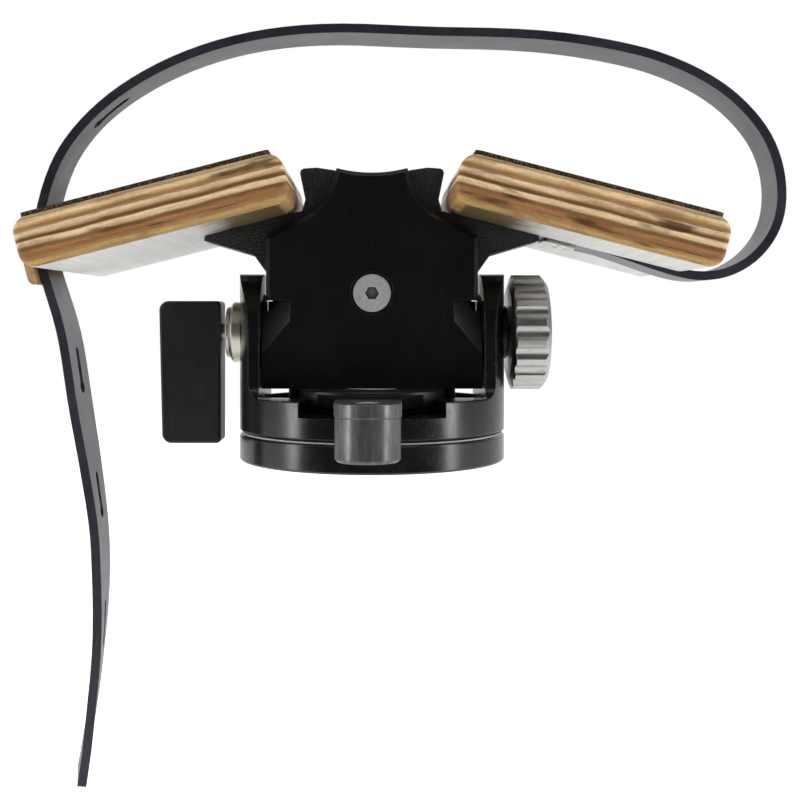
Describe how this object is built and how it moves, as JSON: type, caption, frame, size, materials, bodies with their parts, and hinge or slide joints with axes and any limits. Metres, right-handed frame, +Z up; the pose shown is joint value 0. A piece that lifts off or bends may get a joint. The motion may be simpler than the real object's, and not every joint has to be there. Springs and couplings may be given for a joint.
{
  "type": "telescope altitude-azimuth mount head",
  "caption": "Compact alt-azimuth mount head: turned base and fork, tilting block, V cradle of two padded plywood planks and a rubber tie strap.",
  "frame": {"origin": "mouth of the tripod thread, at the centre of the base's underside", "axes": "+Z up along the azimuth axis; +X along the tilt axis towards the friction knob; the telescope points along -Y when the cradle is level"},
  "size_m": [0.2568, 0.1108, 0.256],
  "materials": {
    "black_anodised": "satin black anodised aluminium, turned",
    "black_milled": "satin black anodised aluminium, milled",
    "black_cast": "fine textured black powder coat on a casting",
    "black_brushed": "black finish over vertically brushed metal",
    "worn_steel": "dark blued steel worn bright at the edges",
    "stainless": "machined stainless steel",
    "nickel": "warm nickel plated, turned",
    "bronze": "sintered bronze bearing metal",
    "glide": "pale low-friction glide material",
    "friction": "dark friction lining",
    "plywood": "varnished plywood, ply edges showing",
    "grip": "speckled dark brown grip sheet",
    "strap_rubber": "matt black rubber strap"
  },
  "bodies": {
    "base": {"base_plate": "black_anodised", "glide_ring": "glide", "azimuth_spindle": "stainless", "flange_screw": "stainless", "tripod_insert": "stainless", "spindle_washer": "stainless", "spindle_nut": "stainless"},
    "fork": {"fork": "black_anodised", "azimuth_bush": "bronze", "tilt_bush_left": "nickel", "tilt_bush_right": "black_brushed", "friction_disc_left": "friction", "friction_disc_right": "friction"},
    "pan_lock": {"pan_lock_arm": "black_milled", "pan_lock_post": "worn_steel", "pan_lock_screw": "stainless"},
    "cradle": {"tilt_block": "black_milled", "axle_grub_screw": "stainless", "clamp_screw": "stainless", "clamp_nut": "stainless", "tilt_axle": "stainless", "saddle_bracket": "black_cast", "plank_screw": "stainless", "plank_insert": "stainless", "plank_left": "plywood", "plank_right": "plywood", "grip_pad_left": "grip", "grip_pad_right": "grip", "strap": "strap_rubber", "strap_anchor_plate": "stainless", "strap_anchor_screw": "stainless", "strap_keeper": "plywood", "keeper_screw": "stainless"},
    "lever": {"lock_lever": "black_brushed", "lever_washer": "stainless"},
    "knob": {"friction_knob": "stainless", "knob_cap": "black_brushed"}
  },
  "joints": [
    {"name": "azimuth", "type": "hinge", "parent": "base", "child": "fork", "pos_m": [0, 0, 0.0134], "axis": [0, 0, 1], "continuous": true},
    {"name": "pan_lock_swing", "type": "hinge", "parent": "fork", "child": "pan_lock", "pos_m": [0, 0, 0.0205], "axis": [0, 0, 1], "range_deg": [-12.7, 15.3]},
    {"name": "altitude", "type": "hinge", "parent": "fork", "child": "cradle", "pos_m": [0, 0, 0.0429], "axis": [-1, 0, 0], "range_deg": [0, 85]},
    {"name": "lever_turn", "type": "hinge", "parent": "fork", "child": "lever", "pos_m": [-0.0595, 0, 0.0429], "axis": [-1, 0, 0], "range_deg": [-75, 75]},
    {"name": "knob_turn", "type": "hinge", "parent": "fork", "child": "knob", "pos_m": [0.052, 0, 0.0429], "axis": [1, 0, 0], "continuous": true}
  ]
}
